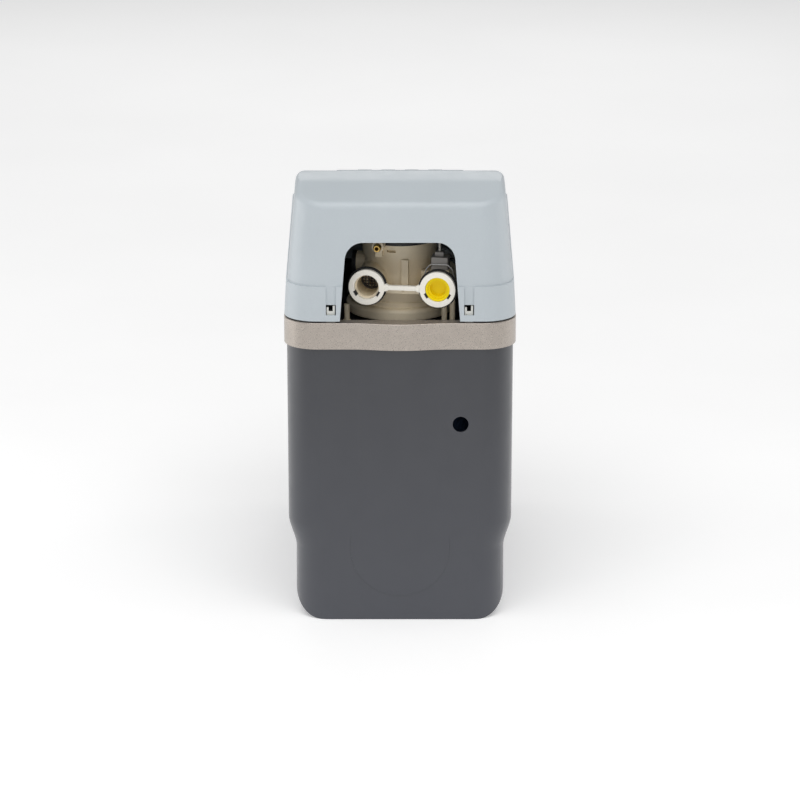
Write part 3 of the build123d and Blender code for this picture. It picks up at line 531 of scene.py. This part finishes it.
FIGURE_WIDTH = 0.0062
FIGURE_HEIGHT = 0.0125
FIGURE_DROP = 0.0078
FIGURE_LOW = -0.00152
FIGURE_HIGH = -0.00146
FIGURES = ((-0.0185, "bc"), (-0.0085, "abged"), (0.0050, "abcdef"), (0.0150, "abcdef"))
COLON_SPAN = (0.0006, 0.0020)
COLON_HEIGHTS = (0.0035, 0.0090)
COLON_HALF = 0.0007


def arrow(centre, turn, size):
    """Triangle with blunt tips, pointing along the angle turn."""
    corners = []
    for index in range(3):
        angle = turn + FULL_TURN * index / 3
        for lean in (-ARROW_BLUNTING, ARROW_BLUNTING):
            x = centre[0] + size * math.cos(angle + lean)
            y = centre[1] + size * math.sin(angle + lean)
            corners.append((x, y))
    return corners


def make_key_marks():
    for index, (body, turn) in enumerate(ARROW_TURNS.items()):
        centre = ((index - 1.5) * KEY_SPACING, KEY_ROW)
        outline = arrow(centre, turn, ARROW_SIZE)
        raised_shape(body + "_mark", [outline], KEY_TOP - MARK_SUNK, KEY_TOP + MARK_PROUD, "print", body)


def flat_bar(left, y, width, thick):
    right = left + width
    return [(left + thick, y - thick / 2), (right - thick, y - thick / 2), (right - thick / 2, y),
            (right - thick, y + thick / 2), (left + thick, y + thick / 2), (left + thick / 2, y)]


def upright_bar(x, y, height, thick):
    top = y + height
    return [(x - thick / 2, y + thick), (x, y + thick / 2), (x + thick / 2, y + thick),
            (x + thick / 2, top - thick), (x, top - thick / 2), (x - thick / 2, top - thick)]


def digit_bars(lit, left, width, height):
    """Outlines of the lit bars of one seven-bar figure, lettered as usual from its top bar."""
    thick = width * 0.2
    half = height / 2
    bars = {
        "a": flat_bar(left, height, width, thick),
        "b": upright_bar(left + width, half, half, thick),
        "c": upright_bar(left + width, 0.0, half, thick),
        "d": flat_bar(left, 0.0, width, thick),
        "e": upright_bar(left, 0.0, half, thick),
        "f": upright_bar(left, half, half, thick),
        "g": flat_bar(left, half, width, thick),
    }
    return [bars[letter] for letter in lit]


def make_display_figures():
    """A plain clock reading, 12:00, under the window, turned to face the user's side."""
    outlines = []
    for left, lit in FIGURES:
        outlines += digit_bars(lit, left, FIGURE_WIDTH, FIGURE_HEIGHT)
    x0, x1 = COLON_SPAN
    for y in COLON_HEIGHTS:
        y0, y1 = y - COLON_HALF, y + COLON_HALF
        outlines.append([(x0, y0), (x1, y0), (x1, y1), (x0, y1)])
    turned = [[(-x, -y - FIGURE_DROP) for x, y in outline] for outline in outlines]
    raised_shape("display_figures", turned, FIGURE_LOW, FIGURE_HIGH, "segment")


make_key_marks()
make_display_figures()
# The inlet screen is dressed dark brown: painted shade standing in for the shade deep in the port's bore.
dress(NODES["inlet_screen"], "screen_painted_shade")


# ---------------------------------------------------------------- studio

WHITE = (1.0, 1.0, 1.0, 1.0)
FLOOR_HALF = 20
FLOOR_TONES = ((0.86, 0.86, 0.86, 1.0), (0.9, 0.9, 0.9, 1.0))
FLOOR_GLOW = 0.3
WORLD_STRENGTH = 0.36
LIGHT_AIM = (0.0, 0.0, 0.3)

# Each light's name, place, size and power
LIGHTS = (
    ("overhead", (0.0, -1.2, 2.5), (2.4, 2.0), 36),
    ("front", (0.0, -3.0, 1.2), (1.6, 1.0), 5),
    ("left_bank", (-2.2, 0.3, 0.5), (2.0, 1.0), 11),
    ("right_bank", (2.2, 0.5, 0.5), (2.0, 1.0), 6),
    ("user_side", (0.0, 3.0, 1.6), (2.4, 1.6), 12),
)

CAMERA_ELEVATION = math.radians(16.5)
CAMERA_DISTANCE = 6.0
CAMERA_TARGET = Vector((0.0, -0.20, 0.2605))
CAMERA_LENS = 231.0
CAMERA_SENSOR = 36.0
CAMERA_REACH = 50.0


def make_floor():
    mesh = bpy.data.meshes.new("studio_floor")
    form = bmesh.new()
    for x, y in ((-1, -1), (1, -1), (1, 1), (-1, 1)):
        form.verts.new((x * FLOOR_HALF, y * FLOOR_HALF, 0.0))
    form.faces.new(form.verts)
    form.to_mesh(mesh)
    form.free()
    floor = bpy.data.objects.new("studio_floor", mesh)
    SCENE.collection.objects.link(floor)
    recipe = Recipe("pale_floor", 0.7, specular=0.2)
    recipe.paint(recipe.blend(recipe.spread(recipe.noise(2.0), 0.0, 1.0), *FLOOR_TONES))
    recipe.shader.inputs["Emission Color"].default_value = WHITE
    recipe.shader.inputs["Emission Strength"].default_value = FLOOR_GLOW
    mesh.materials.append(recipe.material)


def area_light(name, place, size, power):
    light = bpy.data.lights.new(name, "AREA")
    light.shape = "RECTANGLE"
    light.size, light.size_y = size
    light.energy = power
    lamp = bpy.data.objects.new(name, light)
    lamp.location = place
    aim = Vector(LIGHT_AIM) - Vector(place)
    lamp.rotation_euler = aim.to_track_quat("-Z", "Y").to_euler()
    lamp.visible_camera = False
    SCENE.collection.objects.link(lamp)


def make_lights():
    for name, place, size, power in LIGHTS:
        area_light(name, place, size, power)
    world = bpy.data.worlds.new("studio")
    world.use_nodes = True
    background = world.node_tree.nodes["Background"]
    background.inputs["Color"].default_value = WHITE
    background.inputs["Strength"].default_value = WORLD_STRENGTH
    SCENE.world = world


def make_camera():
    """Camera behind the object, on its centre line and looking slightly down, as in the photo."""
    data = bpy.data.cameras.new("camera")
    data.sensor_width = CAMERA_SENSOR
    data.lens = CAMERA_LENS
    data.clip_end = CAMERA_REACH
    camera = bpy.data.objects.new("camera", data)
    back = Vector((0.0, -math.cos(CAMERA_ELEVATION), math.sin(CAMERA_ELEVATION)))
    camera.location = CAMERA_TARGET + CAMERA_DISTANCE * back
    camera.rotation_euler = (CAMERA_TARGET - camera.location).to_track_quat("-Z", "Y").to_euler()
    SCENE.collection.objects.link(camera)
    SCENE.camera = camera


make_floor()
make_lights()
make_camera()
SCENE.view_settings.view_transform = "Standard"
